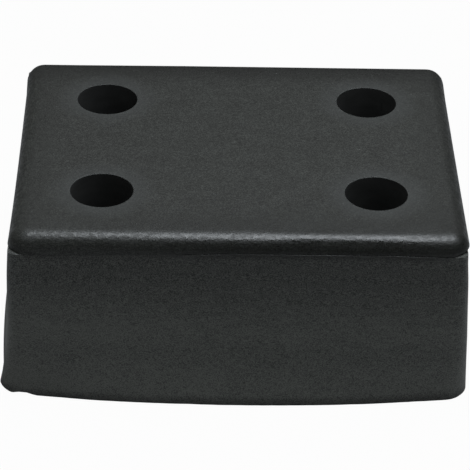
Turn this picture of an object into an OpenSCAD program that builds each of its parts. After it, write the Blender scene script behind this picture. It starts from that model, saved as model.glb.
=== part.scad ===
// Rubber buffer: a solid moulded block, bolted down through four deep recesses.
// The origin is the middle of the flat mounting face, +Z points to the contact face, +X along the long side.

/* [Block] */
// Height from the mounting face to the contact face
block_h = 80; // [60:1:120]
// Length over the rim, at the parting crease
rim_w = 197; // [170:1:280]
// Depth over the rim, at the parting crease
rim_d = 157; // [130:1:220]
// Lean of the side faces, widening towards the mounting face, in degrees
draft = 2.75; // [0.5:0.25:8]
// How far the middle of each long side swells out at the mounting face
swell_long = 7.5; // [0:0.5:10]
// How far the middle of each short side swells out at the mounting face
swell_short = 4.5; // [0:0.5:8]

/* [Rim] */
// Height of the rounded rim above the parting crease
rim_h = 7; // [4:0.5:10]
// Round of the rim's edge, from the contact face down to the crease
edge_r = 8.5; // [7.5:0.5:16]
// Corner radius of the rim, seen from above
rim_corner_r = 9; // [8:0.5:24]
// How far the rim stands out over the side faces at the crease
crease_step = 0.3; // [0.1:0.1:1]

/* [Body] */
// Corner radius of the body just under the crease, seen from above
body_corner_r = 3; // [2:0.5:16]
// Corner radius of the body at the mounting face, seen from above
base_corner_r = 9; // [4:0.5:24]
// Round of the edge between the side faces and the mounting face
base_edge_r = 0.8; // [0.5:0.1:2.5]

/* [Bolt holes] */
// Spacing of the holes along the long side
pitch_x = 120; // [90:1:140]
// Spacing of the holes along the short side
pitch_y = 80; // [60:1:100]
// Diameter of the recess that takes the bolt head and its socket
recess_d = 27.5; // [20:0.5:36]
// Thickness of rubber left under the bolt head
seat_h = 25; // [10:1:50]
// Diameter of the hole for the bolt's shank
bolt_d = 13.5; // [8:0.5:17]

/* [Hidden] */
$fn = 96;
rubber = [0.09, 0.095, 0.1];
crease_z = block_h - rim_h;
// The rim's round is cut off by the crease before it turns upright, so it ends with its face still tilted up.
round_r = max(edge_r, rim_h + 0.5);
round_run = sqrt(round_r * round_r - pow(round_r - rim_h, 2));
corner_r = max(rim_corner_r, round_run + 0.5);
body_w = rim_w - 2 * crease_step;
body_d = rim_d - 2 * crease_step;
flare = crease_z * tan(draft);
// Divisions of the body's skin: along a side, round a corner, down a face and round the bottom edge
side_steps = 12;
corner_steps = 6;
face_steps = 6;
edge_steps = 3;

// Quarter number q of a rounded rectangle: its corner arc, then the side that follows it
function quarter(q, w, d, r) =
    let(
        corner = [[1, 1], [-1, 1], [-1, -1], [1, -1]],
        inner = [w / 2 - r, d / 2 - r],
        here = [corner[q].x * inner.x, corner[q].y * inner.y],
        next = [corner[(q + 1) % 4].x * inner.x, corner[(q + 1) % 4].y * inner.y],
        out = r * [cos(90 * (q + 1)), sin(90 * (q + 1))]
    )
    concat(
        [for (i = [0:corner_steps])
            let(a = 90 * (q + i / corner_steps)) here + r * [cos(a), sin(a)]],
        [for (i = [1:side_steps - 1]) here + out + (next - here) * i / side_steps]
    );

// A rounded rectangle whose sides swell out in the middle, while its corners stay where they are
function outline(w, d, r, long, short) =
    [for (q = [0:3]) for (p = quarter(q, w, d, r)) [
        p.x * (1 + short * 2 / w * (1 - pow(2 * p.y / d, 2))),
        p.y * (1 + long * 2 / d * (1 - pow(2 * p.x / w, 2)))
    ]];

// The body's outline at height z, drawn in by inset: it widens with the draft, and swells faster near the base
function ring(z, inset) =
    let(
        drop = 1 - z / crease_z,
        grow = flare * drop - inset,
        corner = body_corner_r + (base_corner_r - body_corner_r) * drop - inset,
        flat = outline(body_w + 2 * grow, body_d + 2 * grow, corner,
            swell_long * drop * drop, swell_short * drop * drop)
    )
    [for (p = flat) [p.x, p.y, z]];

// The tapered block below the crease, as one skin from the crease down to the mounting face
module body() {
    face_rings = [for (i = [0:face_steps])
        ring(crease_z + (base_edge_r - crease_z) * i / face_steps, 0)];
    edge_rings = [for (i = [1:edge_steps])
        let(a = 90 * i / edge_steps)
        ring(base_edge_r * (1 - sin(a)), base_edge_r * (1 - cos(a)))];
    rings = concat(face_rings, edge_rings);
    n = len(rings[0]);
    last = len(rings) - 1;
    walls = [for (m = [0:last - 1]) for (i = [0:n - 1])
        let(j = (i + 1) % n)
        each [
            [m * n + i, m * n + j, m * n + n + j],
            [m * n + i, m * n + n + j, m * n + n + i]
        ]];
    // Both ends are closed by fans of triangles about a point in their middle.
    crown = n * len(rings);
    ends = [for (i = [0:n - 1])
        let(j = (i + 1) % n)
        each [[crown, j, i], [crown + 1, last * n + i, last * n + j]]];
    middles = [[0, 0, crease_z], [0, 0, 0]];
    polyhedron(points = concat([for (r = rings) each r], middles), faces = concat(walls, ends), convexity = 4);
}

// Section of the rim, from the middle of its corner round outwards: flat top, round edge, flat underside
module rim_section() {
    intersection() {
        square([corner_r, rim_h]);
        union() {
            square([corner_r - round_run, rim_h]);
            translate([corner_r - round_run, rim_h - round_r]) circle(round_r);
        }
    }
}

// The rounded slab above the crease: a core, four sides and four corners
module rim() {
    inner_w = rim_w - 2 * corner_r;
    inner_d = rim_d - 2 * corner_r;
    translate([-inner_w / 2, -inner_d / 2, crease_z]) cube([inner_w, inner_d, rim_h]);
    for (q = [0:3]) {
        across = q % 2 == 0 ? inner_w : inner_d;
        along = q % 2 == 0 ? inner_d : inner_w;
        translate([0, 0, crease_z]) rotate(90 * q) translate([across / 2, 0, 0]) {
            rotate([90, 0, 0]) linear_extrude(along, center = true) rim_section();
            translate([0, along / 2, 0]) rotate_extrude(angle = 90) rim_section();
        }
    }
}

// One stepped hole: a deep recess for the bolt head, and the shank's hole through the rubber under it
module bolt_hole() {
    translate([0, 0, seat_h]) cylinder(d = recess_d, h = block_h);
    translate([0, 0, -1]) cylinder(d = bolt_d, h = block_h);
}

module buffer_block() {
    color(rubber)
    difference() {
        union() {
            body();
            rim();
        }
        for (x = [-1, 1], y = [-1, 1])
            translate([x * pitch_x / 2, y * pitch_y / 2, 0]) bolt_hole();
    }
}

buffer_block();
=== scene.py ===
import math

import bmesh
import bpy
from mathutils import Matrix, Vector, noise


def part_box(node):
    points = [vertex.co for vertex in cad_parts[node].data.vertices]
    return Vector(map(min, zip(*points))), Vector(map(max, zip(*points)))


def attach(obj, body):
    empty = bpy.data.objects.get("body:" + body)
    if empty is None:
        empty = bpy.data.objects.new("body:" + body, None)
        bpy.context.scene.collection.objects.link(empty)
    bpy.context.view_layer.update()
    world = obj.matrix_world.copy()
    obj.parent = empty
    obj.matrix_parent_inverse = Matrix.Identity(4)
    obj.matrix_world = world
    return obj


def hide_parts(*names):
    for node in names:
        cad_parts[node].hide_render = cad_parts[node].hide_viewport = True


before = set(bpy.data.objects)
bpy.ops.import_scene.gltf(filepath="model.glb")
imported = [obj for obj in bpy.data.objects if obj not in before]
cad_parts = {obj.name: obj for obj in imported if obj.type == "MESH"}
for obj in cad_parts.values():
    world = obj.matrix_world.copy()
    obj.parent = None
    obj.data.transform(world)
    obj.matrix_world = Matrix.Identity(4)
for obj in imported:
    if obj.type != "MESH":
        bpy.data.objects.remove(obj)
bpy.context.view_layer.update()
scene = bpy.context.scene
scene.view_settings.view_transform = "Standard"

# The block: one solid moulding of black rubber, pressed in a frame between two plates. The upper plate leaves
# a rounded rim and a parting crease under it; the sides lean out and swell towards the flat mounting face,
# where the flash was trimmed off with a knife. Four stepped holes go through it for the bolts.
MM = 0.001
block_low, block_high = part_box("buffer_block")
block_h = block_high[2] - block_low[2]
rim_w = 197 * MM
rim_d = 157 * MM
rim_h = 7 * MM
edge_r = 8.5 * MM
rim_corner_r = 9 * MM
crown = 0.25 * MM
crown_run = 12 * MM
crease_step = 0.3 * MM
crease_gap = 0.2 * MM
crease_depth = 0.25 * MM
cure_shrink = 0.04 * MM
body_corner_r = 3 * MM
base_corner_r = 9 * MM
base_edge_r = 0.8 * MM
draft = math.radians(2.75)
swell_long = 7.5 * MM
swell_short = 4.5 * MM
crease_z = block_h - rim_h
flare = crease_z * math.tan(draft)

block = bmesh.new()
station = block.verts.layers.int.new("station")

# The rim's outline at the crease: a rectangle with rounded corners and divided sides.
CORNER_STEPS = 12
SIDE_CUTS = 95
bmesh.ops.create_grid(
    block, x_segments=1, y_segments=1, size=0.5, matrix=Matrix.Diagonal((rim_w, rim_d, 1, 1)))
bmesh.ops.bevel(
    block, geom=block.verts[:], offset=rim_corner_r, affect="VERTICES", segments=CORNER_STEPS,
    profile=0.5, material=-1)
sides = [e for e in block.edges if e.calc_length() > 2 * rim_corner_r]
bmesh.ops.subdivide_edges(block, edges=sides, cuts=SIDE_CUTS)
bmesh.ops.delete(block, geom=block.faces[:], context="FACES_ONLY")

# Every point of the outline keeps its station: a foot on the rectangle of the corners' centres, and a way out.
inner = Vector((rim_w / 2 - rim_corner_r, rim_d / 2 - rim_corner_r))
feet, ways_out = [], []
for number, v in enumerate(block.verts):
    foot = Vector((max(-inner.x, min(inner.x, v.co.x)), max(-inner.y, min(inner.y, v.co.y))))
    v[station] = number
    feet.append(foot)
    ways_out.append((v.co.xy - foot).normalized())

back_corner_fill = 0.4 * MM


def outline_point(number, w, d, corner, long_swell=0.0, short_swell=0.0):
    """A station's place on a rounded rectangle whose sides swell out in the middle; its back corners are fuller."""
    foot, out = feet[number], ways_out[number]
    fill = back_corner_fill * (2 * out.x * out.y) ** 2 if foot.y > 0 else 0.0
    x = foot.x * (w / 2 - corner) / inner.x + (corner + fill) * out.x
    y = foot.y * (d / 2 - corner) / inner.y + (corner + fill) * out.y
    return Vector((
        x * (1 + short_swell * 2 / w * (1 - (2 * y / d) ** 2)),
        y * (1 + long_swell * 2 / d * (1 - (2 * x / w) ** 2)),
    ))


def rise(value, start, end):
    """0 up to the start, 1 past the end, and a straight rise between; the end may lie below the start."""
    return max(0.0, min(1.0, (value - start) / (end - start)))


def tent(value, middle, reach):
    """1 at the middle, falling straight to 0 at this reach on both sides of it."""
    return max(0.0, 1 - abs(value - middle) / reach)


def to_front(xy):
    """0 at the back of the block, 1 at its front."""
    return rise(xy.y, rim_d / 2, -rim_d / 2)


# The upper plate sat a little askew, so the crease hangs low at the front left and at the right end.
sag = 2.6 * MM
sag_run = 80 * MM
sag_end_lift = 0.35
right_sag = 0.7 * MM
right_sag_start = 65 * MM
right_sag_end = 90 * MM


def crease_sag(xy):
    """How far the crease hangs low here."""
    at_left = sag * rise(xy.x, 0, -sag_run) * (1 - sag_end_lift * rise(xy.x, -sag_run, -rim_w / 2))
    at_right = right_sag * rise(xy.x, right_sag_start, right_sag_end)
    return to_front(xy) ** 2 * (at_left + at_right)


# Where this moulding came out fuller or leaner than its true outline, and by how much.
left_front_fill = 1.1 * MM
left_back_fill = 0.45 * MM
right_rim_fill = 0.45 * MM
right_foot_loss = 0.9 * MM
right_foot_y = -66 * MM
right_foot_reach = 22 * MM
right_neck_loss = 0.4 * MM
right_back_fill = 0.25 * MM
back_fill = 0.45 * MM
front_foot_fill = 0.6 * MM
front_foot_loss = 0.3 * MM
front_foot_x = -20 * MM
front_foot_reach = 20 * MM


def stray(xy, z):
    """How far the moulding strays from its true outline at this place and height."""
    from_middle = xy.x / (rim_w / 2)
    at_left, at_right = max(0.0, -from_middle) ** 6, max(0.0, from_middle) ** 6
    at_back = rise(xy.y, 0.35 * rim_d, 0.45 * rim_d)
    high_up = rise(z, 0.36 * block_h, 0.76 * block_h)
    left_out = high_up * (left_front_fill * to_front(xy) ** 4 + left_back_fill * at_back)
    if z > crease_z - 0.5 * crease_gap:
        right_in = -right_rim_fill
    else:
        low_down = rise(z, 30 * MM, 0) * tent(xy.y, right_foot_y, right_foot_reach)
        right_in = right_foot_loss * low_down + right_neck_loss * rise(z, 58 * MM, 68 * MM)
    right_in = right_in * to_front(xy) ** 2 - right_back_fill * at_back * high_up
    back_out = back_fill * at_back * high_up * rise(xy.x, -75 * MM, -25 * MM)
    if xy.x > 0:
        front_out = front_foot_fill * from_middle
    else:
        front_out = -front_foot_loss * tent(xy.x, front_foot_x, front_foot_reach)
    front_out *= to_front(xy) ** 4 * rise(z, 50 * MM, 0)
    return Vector((-at_left * left_out - at_right * right_in, back_out - front_out))


# To the right of its middle, the front rim's round came out fuller, and so sharper, about this tilt.
brow = 0.22 * MM
brow_tilt = math.radians(64)
BROW_SHARPNESS = 4


def brow_fill(xy, tilt):
    """How much fuller the front rim's round is here."""
    along = rise(xy.x, 14 * MM, 26 * MM) * rise(xy.x, 78 * MM, 52 * MM)
    at_front = rise(xy.y, -55 * MM, -65 * MM)
    return brow * along * at_front * max(0.0, math.cos(BROW_SHARPNESS * (tilt - brow_tilt)))


def pull_ring(edges):
    """Extrudes a loop of edges in place and gives back the new loop's edges and points."""
    made = bmesh.ops.extrude_edge_only(block, edges=edges)["geom"]
    points = [g for g in made if isinstance(g, bmesh.types.BMVert)]
    fresh = set(points)
    loop = [g for g in made if isinstance(g, bmesh.types.BMEdge) and fresh.issuperset(g.verts)]
    return loop, points


round_run = math.sqrt(edge_r**2 - (edge_r - rim_h) ** 2)
least_corner_r = 0.05 * MM


def rim_ring(edges, tilt, inset=0.0):
    """A ring of the rim's round, where its face is tilted up by this angle."""
    drawn_in = round_run - edge_r * math.cos(tilt) + inset
    fallen = edge_r * (1 - math.sin(tilt))
    corner = max(rim_corner_r - drawn_in, least_corner_r)
    loop, points = pull_ring(edges)
    for v in points:
        out = ways_out[v[station]]
        v.co.xy = outline_point(v[station], rim_w - 2 * drawn_in, rim_d - 2 * drawn_in, corner)
        sunk = crown * (1 - fallen / rim_h) + crease_sag(v.co.xy) * (fallen / rim_h) ** 3
        v.co.z = block_h - fallen - sunk
        v.co.xy += stray(v.co.xy, v.co.z)
        facing = Vector((out.x * math.cos(tilt), out.y * math.cos(tilt), math.sin(tilt)))
        v.co += facing * brow_fill(v.co.xy, tilt)
    return loop


for v in block.verts:
    v.co.z = crease_z - crease_sag(v.co.xy)
    v.co.xy += stray(v.co.xy, v.co.z)
crease_loop = block.edges[:]
crease_tilt = math.asin((edge_r - rim_h) / edge_r)
crown_tilt = math.pi / 2 - 2 * crown / crown_run
loop = crease_loop
ROUND_STEPS = 14
for step in range(1, ROUND_STEPS + 1):
    loop = rim_ring(loop, crease_tilt + (crown_tilt - crease_tilt) * step / ROUND_STEPS)

# The contact face is crowned: it falls away a little near its edges.
CROWN_STEPS = 6
for step in range(1, CROWN_STEPS + 1):
    loop = rim_ring(loop, crown_tilt, inset=crown_run * step / CROWN_STEPS)
    for v in {v for e in loop for v in e.verts}:
        v.co.z = block_h - crown * (1 - step / CROWN_STEPS) ** 2
top_loop = loop

# Under the rim the crease runs in a little, and comes out again on the body's own outline.
drawn_in = crease_step + crease_depth
loop, points = pull_ring(crease_loop)
for v in points:
    v.co.xy = outline_point(v[station], rim_w - 2 * drawn_in, rim_d - 2 * drawn_in, rim_corner_r - drawn_in)
    v.co.z = crease_z - 0.5 * crease_gap - crease_sag(v.co.xy)
    v.co.xy += stray(v.co.xy, v.co.z)

# A thin bead of flash stands out under the crease, from the middle of the front to near its right end.
bead_out = 0.4 * MM
BEAD_LUMPS_PER_M = 70
BEAD_UNEVENNESS = 0.2


def flash_bead(xy):
    """How far the bead of flash stands out here."""
    share = min(rise(xy.x, -30 * MM, -18 * MM), rise(xy.x, 94 * MM, 84 * MM))
    return bead_out * share * (1 + BEAD_UNEVENNESS * noise.noise(xy.to_3d() * BEAD_LUMPS_PER_M))


# Along the base the knife wandered as it trimmed the flash off.
trim_depth = 0.4 * MM
TRIM_WAVES_PER_M = 55
TRIM_NICKS_PER_M = 210


def trim_wander(co):
    """How far the trimmed flash wanders at a place on the block's edge, between about -1 and 1."""
    return noise.noise(co * TRIM_WAVES_PER_M) + 0.5 * noise.noise(co * TRIM_NICKS_PER_M)


# At the foot of the front left corner the knife slipped: it left the corner full, a small tip behind it and a
# nick beside it. Each has a spot, a reach with a full core, a height, and the way that the rubber is moved.
knife_slips = (
    (Vector((-101.5, -81.5)) * MM, 21 * MM, 3 * MM, 20 * MM, Vector((-2, 0, 0)) * MM),
    (Vector((-102, -72)) * MM, 4 * MM, 0.5 * MM, 2.5 * MM, Vector((-0.5, 0, 0)) * MM),
    (Vector((-92.5, -83)) * MM, 5.5 * MM, 1 * MM, 7 * MM, Vector((0, 0, 1.4)) * MM),
)


def knife_slip(xy, z):
    """How far the slipped knife left the rubber out of place here."""
    moved = Vector((0, 0, 0))
    for spot, reach, core, height, move in knife_slips:
        near = rise((xy - spot).length, reach, core)
        moved += move * (near * near * (3 - 2 * near) * rise(z, height, 0))
    return moved


def body_ring(edges, z, inset=0.0, wander=0.0, bead=0.0):
    """A ring of the leaning side faces at this height."""
    drop = 1 - z / crease_z
    grow = flare * drop - crease_step - cure_shrink - inset
    corner = body_corner_r + (base_corner_r - body_corner_r) * drop - min(inset, base_edge_r)
    swells = swell_long * drop**2, swell_short * drop**2
    loop, points = pull_ring(edges)
    for v in points:
        out = ways_out[v[station]]
        xy = outline_point(v[station], rim_w + 2 * grow, rim_d + 2 * grow, corner, *swells)
        if wander:
            xy -= out * wander * (0.5 + 0.5 * trim_wander(xy.to_3d()))
        v.co.xy = xy + out * bead * flash_bead(xy) + stray(xy, z)
        v.co.z = z - crease_sag(xy) * rise(drop, 0.5, 0) ** 2
        v.co += knife_slip(xy, z)
    return loop


loop = body_ring(loop, crease_z - crease_gap)
for below, bead in ((0.2 * MM, 1), (0.6 * MM, 1), (1.2 * MM, 0)):
    face_top = crease_z - crease_gap - below
    loop = body_ring(loop, face_top, bead=bead)
FACE_STEPS = 18
for step in range(1, FACE_STEPS + 1):
    loop = body_ring(loop, face_top + (base_edge_r - face_top) * step / FACE_STEPS)
EDGE_STEPS = 5
for step in range(1, EDGE_STEPS + 1):
    turn = math.pi / 2 * step / EDGE_STEPS
    loop = body_ring(loop, base_edge_r * (1 - math.sin(turn)), base_edge_r * (1 - math.cos(turn)), trim_depth)
base_loop = body_ring(loop, 0.0, base_edge_r + trim_depth, trim_depth)

# The bolt holes, each carried down from its mouth in the contact face to its mouth in the mounting face.
pitch_x = 120 * MM
pitch_y = 80 * MM
recess_r = 13.75 * MM
seat_h = 25 * MM
bolt_r = 6.75 * MM
mouth_r = 0.3 * MM
HOLE_STEPS = 80


def bore_ring(edges, centre, radius, z):
    """A ring of a bolt hole's wall, carried on from the ring before it."""
    loop, points = pull_ring(edges)
    for v in points:
        v.co.xy = centre + (v.co.xy - centre).normalized() * radius
        v.co.z = z
    return loop


top_mouths, base_mouths = [], []
for x in (-pitch_x / 2, pitch_x / 2):
    for y in (-pitch_y / 2, pitch_y / 2):
        centre = Vector((x, y))
        mouth = bmesh.ops.create_circle(
            block, cap_ends=False, radius=recess_r + 2 * mouth_r, segments=HOLE_STEPS,
            matrix=Matrix.Translation((x, y, block_h)))
        loop = list(dict.fromkeys(e for v in mouth["verts"] for e in v.link_edges))
        top_mouths += loop
        loop = bore_ring(loop, centre, recess_r + mouth_r, block_h)
        for turn in (30, 60, 90):
            a = math.radians(turn)
            radius = recess_r + mouth_r * (1 - math.sin(a))
            loop = bore_ring(loop, centre, radius, block_h - mouth_r * (1 - math.cos(a)))
        loop = bore_ring(loop, centre, recess_r, seat_h)
        loop = bore_ring(loop, centre, bolt_r + mouth_r, seat_h)
        loop = bore_ring(loop, centre, bolt_r, seat_h - mouth_r)
        loop = bore_ring(loop, centre, bolt_r, mouth_r)
        base_mouths += bore_ring(loop, centre, bolt_r + mouth_r, 0.0)
bmesh.ops.triangle_fill(block, use_beauty=True, edges=top_loop + top_mouths, normal=(0, 0, 1))
bmesh.ops.triangle_fill(block, use_beauty=True, edges=base_loop + base_mouths, normal=(0, 0, -1))
bmesh.ops.recalc_face_normals(block, faces=block.faces[:])


def as_object(name, shape):
    """Turns a finished shape into an object of the scene."""
    mesh = bpy.data.meshes.new(name)
    shape.to_mesh(mesh)
    shape.free()
    made = bpy.data.objects.new(name, mesh)
    scene.collection.objects.link(made)
    return made


SHARPEST_SMOOTH_EDGE = math.radians(28)
moulded_block = as_object("moulded_block", block)
block_mesh = moulded_block.data
block_mesh.shade_smooth()
block_mesh.set_sharp_from_angle(angle=SHARPEST_SMOOTH_EDGE)

# The rubber's finish: soot-black with a low sheen and a fine grain pressed into it, smoother round the rim, with
# slow waves where the hot rubber settled and a paler bloom about the holes. Light and shade are painted on too:
# bounce light on the sides, shade near the contact face's edges, under the rim and at the foot, and a reflection
# up the upright corners.
grain_group = bpy.data.node_groups.new("pressed_grain", "ShaderNodeTree")
grain_group.interface.new_socket("Place", in_out="INPUT", socket_type="NodeSocketVector")
grain_sizes = {
    "Grain": (0.55 * MM, 1), "Blotch": (2.4 * MM, 2), "Mottle": (10 * MM, 3), "Specks": (1.5 * MM, 1),
    "Waves": (26 * MM, 2),
}
for mask in grain_sizes:
    grain_group.interface.new_socket(mask, in_out="OUTPUT", socket_type="NodeSocketFloat")
grain_in = grain_group.nodes.new("NodeGroupInput")
grain_out = grain_group.nodes.new("NodeGroupOutput")
pressed_flat = grain_group.nodes.new("ShaderNodeMapping")
pressed_flat.inputs["Scale"].default_value = (1, 1, 1.9)
grain_group.links.new(grain_in.outputs["Place"], pressed_flat.inputs["Vector"])
for mask, (lump, detail) in grain_sizes.items():
    pattern = grain_group.nodes.new("ShaderNodeTexNoise")
    pattern.inputs["Scale"].default_value = 1 / lump
    pattern.inputs["Detail"].default_value = detail
    grain_group.links.new(pressed_flat.outputs["Vector"], pattern.inputs["Vector"])
    grain_group.links.new(pattern.outputs["Fac"], grain_out.inputs[mask])


def open_nodes(owner):
    """The nodes and links of a material or a world; the helpers below work in the ones opened last."""
    owner.use_nodes = True
    return owner.node_tree.nodes, owner.node_tree.links


def pressed_masks(place):
    """Places the pressed grain on the rubber at hand, and gives back the grain's masks."""
    pressed = nodes.new("ShaderNodeGroup")
    pressed.node_tree = grain_group
    links.new(place, pressed.inputs["Place"])
    return pressed.outputs


def remap(value, low, high, to_low, to_high):
    """Carries a value from one range to another, and stops at its ends."""
    n = nodes.new("ShaderNodeMapRange")
    for socket, number in zip(("From Min", "From Max", "To Min", "To Max"), (low, high, to_low, to_high)):
        n.inputs[socket].default_value = number
    links.new(value, n.inputs["Value"])
    return n.outputs["Result"]


def reckon(operation, *values):
    """One step of arithmetic on sockets and numbers."""
    n = nodes.new("ShaderNodeMath")
    n.operation = operation
    for slot, value in enumerate(values):
        if isinstance(value, (int, float)):
            n.inputs[slot].default_value = value
        else:
            links.new(value, n.inputs[slot])
    return n.outputs["Value"]


def times(first, *others):
    """The product of several sockets and numbers."""
    product = first
    for other in others:
        product = reckon("MULTIPLY", product, other)
    return product


def blend_colour(factor, under, over):
    """Lays one colour over another by a factor; a colour may be a value or a socket."""
    n = nodes.new("ShaderNodeMix")
    n.data_type = "RGBA"
    links.new(factor, n.inputs["Factor"])
    for socket, colour in (("A", under), ("B", over)):
        target = next(i for i in n.inputs if i.identifier == socket + "_Color")
        if isinstance(colour, tuple):
            target.default_value = colour
        else:
            links.new(colour, target)
    return next(o for o in n.outputs if o.identifier == "Result_Color")


def raise_bump(height, strength, distance, over=None):
    """The normal of a surface raised by this height, over another such normal where one is given."""
    n = nodes.new("ShaderNodeBump")
    n.inputs["Strength"].default_value = strength
    n.inputs["Distance"].default_value = distance
    links.new(height, n.inputs["Height"])
    if over:
        links.new(over, n.inputs["Normal"])
    return n.outputs["Normal"]


rubber = bpy.data.materials.new("moulded_rubber")
nodes, links = open_nodes(rubber)
shader = nodes["Principled BSDF"]
place = nodes.new("ShaderNodeTexCoord").outputs["Object"]
masks = pressed_masks(place)
axes = nodes.new("ShaderNodeSeparateXYZ")
links.new(place, axes.inputs["Vector"])
at_x, at_y, at_z = axes.outputs["X"], axes.outputs["Y"], axes.outputs["Z"]

# Where a point lies: from the nearest hole's axis, from the rim's edges and corners, and above the crease.
from_hole_x = reckon("SUBTRACT", reckon("ABSOLUTE", at_x), pitch_x / 2)
from_hole_y = reckon("SUBTRACT", reckon("ABSOLUTE", at_y), pitch_y / 2)
from_hole = reckon("SQRT", reckon("ADD", reckon("POWER", from_hole_x, 2), reckon("POWER", from_hole_y, 2)))
within_x = reckon("SUBTRACT", rim_w / 2, reckon("ABSOLUTE", at_x))
within_y = reckon("SUBTRACT", rim_d / 2, reckon("ABSOLUTE", at_y))
to_corner = reckon("MAXIMUM", within_x, within_y)
to_edge = reckon("MINIMUM", within_x, within_y)
from_back = reckon("SUBTRACT", rim_d / 2, at_y)
from_front = reckon("ADD", rim_d / 2, at_y)
end_sag = remap(at_x, -sag_run, -rim_w / 2, sag, (1 - sag_end_lift) * sag)
left_hang = times(remap(at_x, 0, -sag_run, 0, 1), end_sag)
right_hang = remap(at_x, right_sag_start, right_sag_end, 0, right_sag)
front_share = reckon("POWER", remap(at_y, rim_d / 2, -rim_d / 2, 0, 1), 2)
hang = times(reckon("ADD", left_hang, right_hang), front_share)
over_crease = reckon("SUBTRACT", reckon("ADD", at_z, hang), crease_z)
crease_blur = 0.2 * MM
above = remap(over_crease, -crease_blur, crease_blur, 0, 1)
on_side = remap(over_crease, -crease_blur, crease_blur, 1, 0)
on_rim = times(above, remap(at_z, block_h - 0.9 * MM, block_h - 0.3 * MM, 1, 0))
off_top = reckon("MAXIMUM", on_side, on_rim)

# The grain: paler grains in the soot, evener on the contact face. Painted shade thins it near the contact face's
# edges, most at the back and in a strip along the front, and the rim band is painted lighter at the left and
# darker at the right.
soot_and_shade_black = (0.0046, 0.0048, 0.0042, 1)
grain_grey = (0.0503, 0.053, 0.047, 1)
fine = remap(masks["Grain"], 0.3, 0.72, 0, 0.85)
coarse = remap(masks["Blotch"], 0.32, 0.7, 0, 0.17)
cloud = remap(masks["Mottle"], 0.3, 0.7, 1.26, 1.58)
speckle = times(reckon("POWER", reckon("ADD", fine, coarse), 1.6), cloud)
evened = reckon("ADD", times(speckle, remap(off_top, 0, 1, 0.7, 1)), remap(off_top, 0, 1, 0.14, 0))
# Painted shade near the contact face's edges, most at the back, and in a strip along its front.
painted_edge_shade = times(remap(to_edge, 9 * MM, 20 * MM, 0.8, 1), remap(from_back, 4 * MM, 28 * MM, 0.3, 1))
painted_front_shade = times(remap(from_front, 12 * MM, 36 * MM, 0.28, 0), remap(at_x, -85 * MM, -20 * MM, 0.1, 1))
grain_under_painted_shade = reckon("MAXIMUM", on_side, times(painted_edge_shade, reckon("SUBTRACT", 1, painted_front_shade)))
# Painted light and shade on the rim band: lighter at the left, darker to the right.
painted_rim_light_and_shade = times(on_rim, remap(at_x, -80 * MM, 20 * MM, -0.3, 0.2))
smoothed = times(evened, grain_under_painted_shade, reckon("SUBTRACT", 1, painted_rim_light_and_shade))
grained = blend_colour(smoothed, soot_and_shade_black, grain_grey)

# The sides: paler than the contact face, and painted lighter still towards the left, where the overhead box lights
# them less; the holes' mouths have a bloom about them.
side_grey = (0.134, 0.1385, 0.1245, 1)
bloom_grey = (0.05, 0.053, 0.052, 1)
bloom_run = 11 * MM
# Painted light: the sides lighter towards the left.
sides_painted_lighter_left = times(on_side, remap(at_x, -rim_w / 2, -10 * MM, 1.2, 1))
sided = blend_colour(times(sides_painted_lighter_left, remap(speckle, 0.15, 0.85, 0, 0.62)), grained, side_grey)
bloom = remap(from_hole, recess_r, recess_r + bloom_run, 1, 0)
bloomed = blend_colour(times(bloom, 0.5), sided, bloom_grey)

# Painted bounce light on the sides: lighter half way up and low down, with a darker band between, fading at the
# very foot, most at the left, and mottled by the grain.
painted_bounce_half_way = reckon("SUBTRACT", remap(at_z, 60 * MM, 35 * MM, 0, 1.35), remap(at_z, 31 * MM, 26 * MM, 0, 0.3))
painted_bounce_bands = reckon("ADD", painted_bounce_half_way, remap(at_z, 22 * MM, 9 * MM, 0, 0.6))
painted_bounce_light = times(painted_bounce_bands, remap(at_z, 0, 5 * MM, 0.2, 1), remap(at_x, -rim_w / 2, 0, 1.4, 1))
bounce_mottle = reckon("ADD", speckle, times(masks["Mottle"], 0.35))
with_painted_bounce = blend_colour(times(painted_bounce_light, remap(bounce_mottle, 0.1, 1.3, 0.1, 0.7)), bloomed, side_grey)

# Painted shade darkens the side just under the rim and at the foot; a painted reflection lightens the upright
# corners high up, and a few specks of dust cling.
dust_and_reflection_grey = (0.14, 0.147, 0.142, 1)
painted_shade_under_rim = times(remap(over_crease, -3.5 * MM, -1.2 * MM, 0, 1), remap(over_crease, 0, 0.1 * MM, 1, 0))
under_rim_shade_reach = times(remap(at_x, -50 * MM, -10 * MM, 0.15, 0.5), remap(to_corner, 6 * MM, 10 * MM, 0, 1))
painted_foot_shade = remap(at_z, 0, 4.5 * MM, 0.6, 0)
shaded = blend_colour(reckon("MAXIMUM", times(painted_shade_under_rim, under_rim_shade_reach), painted_foot_shade), with_painted_bounce, soot_and_shade_black)
# Painted reflection: the upright corners lighter high up.
painted_corner_reflection = times(on_side, remap(to_corner, 6 * MM, 0, 0, 0.8))
high_up = remap(at_z, 0.4 * block_h, 0.85 * block_h, 0, 1)
with_corner_reflection = blend_colour(times(painted_corner_reflection, high_up, speckle), shaded, dust_and_reflection_grey)
specked = blend_colour(remap(masks["Specks"], 0.78, 0.83, 0, 0.6), with_corner_reflection, dust_and_reflection_grey)
links.new(specked, shader.inputs["Base Color"])

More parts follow.
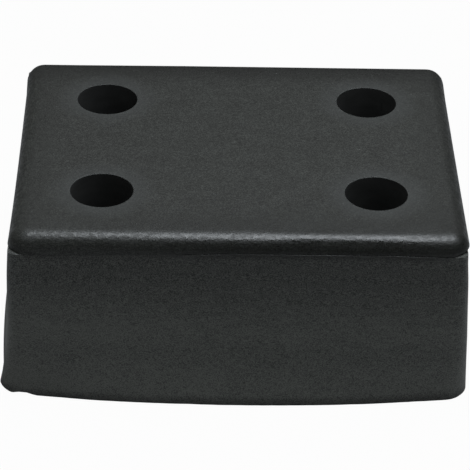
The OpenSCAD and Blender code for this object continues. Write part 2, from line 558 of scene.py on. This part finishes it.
# The sheen: low all over, and polished along the front rim, where it glints unevenly.
skin_rough = remap(masks["Mottle"], 0.3, 0.7, 0.42, 0.5)
front_rim = times(on_rim, remap(at_y, -rim_d / 2 + 16 * MM, -rim_d / 2 + 10 * MM, 0, 0.14))
left_wear = remap(at_x, -88 * MM, 25 * MM, 0.15, 1.3)
right_wear = remap(at_x, 60 * MM, 92 * MM, 1.3, 0.5)
polish = times(front_rim, reckon("MINIMUM", left_wear, right_wear))
glints = times(on_rim, remap(masks["Blotch"], 0.35, 0.65, 0.1, -0.1))
links.new(reckon("ADD", reckon("SUBTRACT", skin_rough, polish), glints), shader.inputs["Roughness"])
shader.inputs["Specular IOR Level"].default_value = 0.41

# The skin's own relief: slow waves, then blotches, which are strongest round the brow of the rim, then the grain.
waves = raise_bump(masks["Waves"], 0.6, 0.2 * MM)
on_brow = times(remap(to_edge, 10 * MM, 16 * MM, 0.95, 0.7), remap(over_crease, 0, 2 * MM, 0.45, 1))
blotches = raise_bump(times(reckon("SUBTRACT", masks["Blotch"], 0.5), on_brow), 0.8, 0.2 * MM, over=waves)
links.new(raise_bump(fine, 0.7, 0.035 * MM, over=blotches), shader.inputs["Normal"])
block_mesh.materials.append(rubber)

# The walls of the holes keep the dull, sooty skin of the steel pins that formed them.
hole_black = (0.03, 0.0305, 0.0294, 1)
hole_grain = (0.04, 0.0408, 0.0395, 1)
hole_rubber = bpy.data.materials.new("hole_rubber")
nodes, links = open_nodes(hole_rubber)
hole_shader = nodes["Principled BSDF"]
hole_shader.inputs["Specular IOR Level"].default_value = 0.1
hole_shader.inputs["Roughness"].default_value = 0.9
masks = pressed_masks(nodes.new("ShaderNodeTexCoord").outputs["Object"])
hole_colour = blend_colour(remap(masks["Mottle"], 0.3, 0.7, 0, 1), hole_black, hole_grain)
links.new(hole_colour, hole_shader.inputs["Base Color"])
block_mesh.materials.append(hole_rubber)
for face in block_mesh.polygons:
    x, y, z = face.center
    in_hole = math.hypot(abs(x) - pitch_x / 2, abs(y) - pitch_y / 2) < recess_r + 0.2 * mouth_r
    face.material_index = 1 if in_hole and mouth_r < z < block_h - 0.5 * mouth_r else 0
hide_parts("buffer_block")
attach(moulded_block, "root")

# The studio: a pale painted floor under the block, seen from above only, and a plain dim room that shows white
# behind it. A broad soft box hangs overhead, turned a little; a pale panel with two wings stands behind the block,
# and another panel at its left.
FLOOR_SIDE = 6.0
floor_gap = 0.2 * MM
floor_grey = (0.42, 0.42, 0.42, 1)
FLOOR_WHITENESS = 0.97
floor_shape = bmesh.new()
bmesh.ops.create_grid(floor_shape, x_segments=1, y_segments=1, size=FLOOR_SIDE / 2)
bmesh.ops.translate(floor_shape, verts=floor_shape.verts[:], vec=(0, 0, -floor_gap))
floor = as_object("floor", floor_shape)
paint = bpy.data.materials.new("floor_paint")
nodes, links = open_nodes(paint)


def mix_shaders(factor, first, second):
    """Mixes two shaders by a factor."""
    n = nodes.new("ShaderNodeMixShader")
    links.new(factor, n.inputs["Fac"])
    links.new(first, n.inputs[1])
    links.new(second, n.inputs[2])
    return n.outputs["Shader"]


coat = nodes["Principled BSDF"]
coat.inputs["Base Color"].default_value = floor_grey
coat.inputs["Roughness"].default_value = 1
coat.inputs["Specular IOR Level"].default_value = 0
white = nodes.new("ShaderNodeEmission").outputs["Emission"]
clear = nodes.new("ShaderNodeBsdfTransparent").outputs["BSDF"]
from_below = nodes.new("ShaderNodeNewGeometry").outputs["Backfacing"]
part_white = times(nodes.new("ShaderNodeLightPath").outputs["Is Camera Ray"], FLOOR_WHITENESS)
painted = mix_shaders(part_white, coat.outputs["BSDF"], white)
links.new(mix_shaders(from_below, painted, clear), nodes["Material Output"].inputs["Surface"])
floor.data.materials.append(paint)

room_grey = (0.06, 0.06, 0.06, 1)
room_white = (1, 1, 1, 1)
room = bpy.data.worlds.new("room")
scene.world = room
nodes, links = open_nodes(room)
room_tone = blend_colour(nodes.new("ShaderNodeLightPath").outputs["Is Camera Ray"], room_grey, room_white)
links.new(room_tone, nodes["Background"].inputs["Color"])


def stand_at(thing, place, right, up, back):
    """Stands a lamp or a camera at a place, turned to these three ways."""
    thing.matrix_world = Matrix.Translation(place) @ Matrix((right, up, back)).transposed().to_4x4()
    scene.collection.objects.link(thing)


def soft_box(name, width, depth, place, brightness, tint=(1, 1, 1), slew=0.0):
    """A flat soft light of this size, aimed at the contact face; brightness is what a mirror would show of it."""
    lamp = bpy.data.lights.new(name, "AREA")
    lamp.shape = "RECTANGLE"
    lamp.size, lamp.size_y = width, depth
    lamp.energy = brightness * math.pi * width * depth
    lamp.color = tint
    aim = (Vector((0, 0, block_h)) - Vector(place)).normalized()
    along = Vector((1, slew, 0))
    along = (along - aim * aim.dot(along)).normalized()
    stand_at(bpy.data.objects.new(name, lamp), place, along, -aim.cross(along), -aim)


soft_box("overhead_box", 0.9, 0.76, (0.2, 0.06, 1.3), 7.5, tint=(0.945, 1, 1.05), slew=0.45)
soft_box("back_panel", 2.6, 0.8, (0, 2.0, 1.72), 0.55)
soft_box("left_panel", 0.9, 0.9, (-1.5, 0.05, 1.1), 0.3)
soft_box("left_wing", 0.9, 0.75, (-1.25, 1.93, 0.75), 0.15)
soft_box("right_wing", 0.9, 0.75, (1.25, 1.93, 0.75), 0.12)

# The camera stands in front of the block, a little above it, with a long lens, and hangs a touch askew.
PHOTO_SIDE = 470
FOCAL_PIXELS = 2501.4
camera_data = bpy.data.cameras.new("camera")
camera_data.sensor_width = 36
camera_data.lens = FOCAL_PIXELS * camera_data.sensor_width / PHOTO_SIDE
camera = bpy.data.objects.new("camera", camera_data)
ahead = Vector((0.021217, 0.839801, -0.54248))
right = Vector((0.999702, -0.011273, 0.021648))
stand_at(camera, (-0.0248, -0.96792, block_h + 0.57695), right, right.cross(ahead), -ahead)
scene.camera = camera
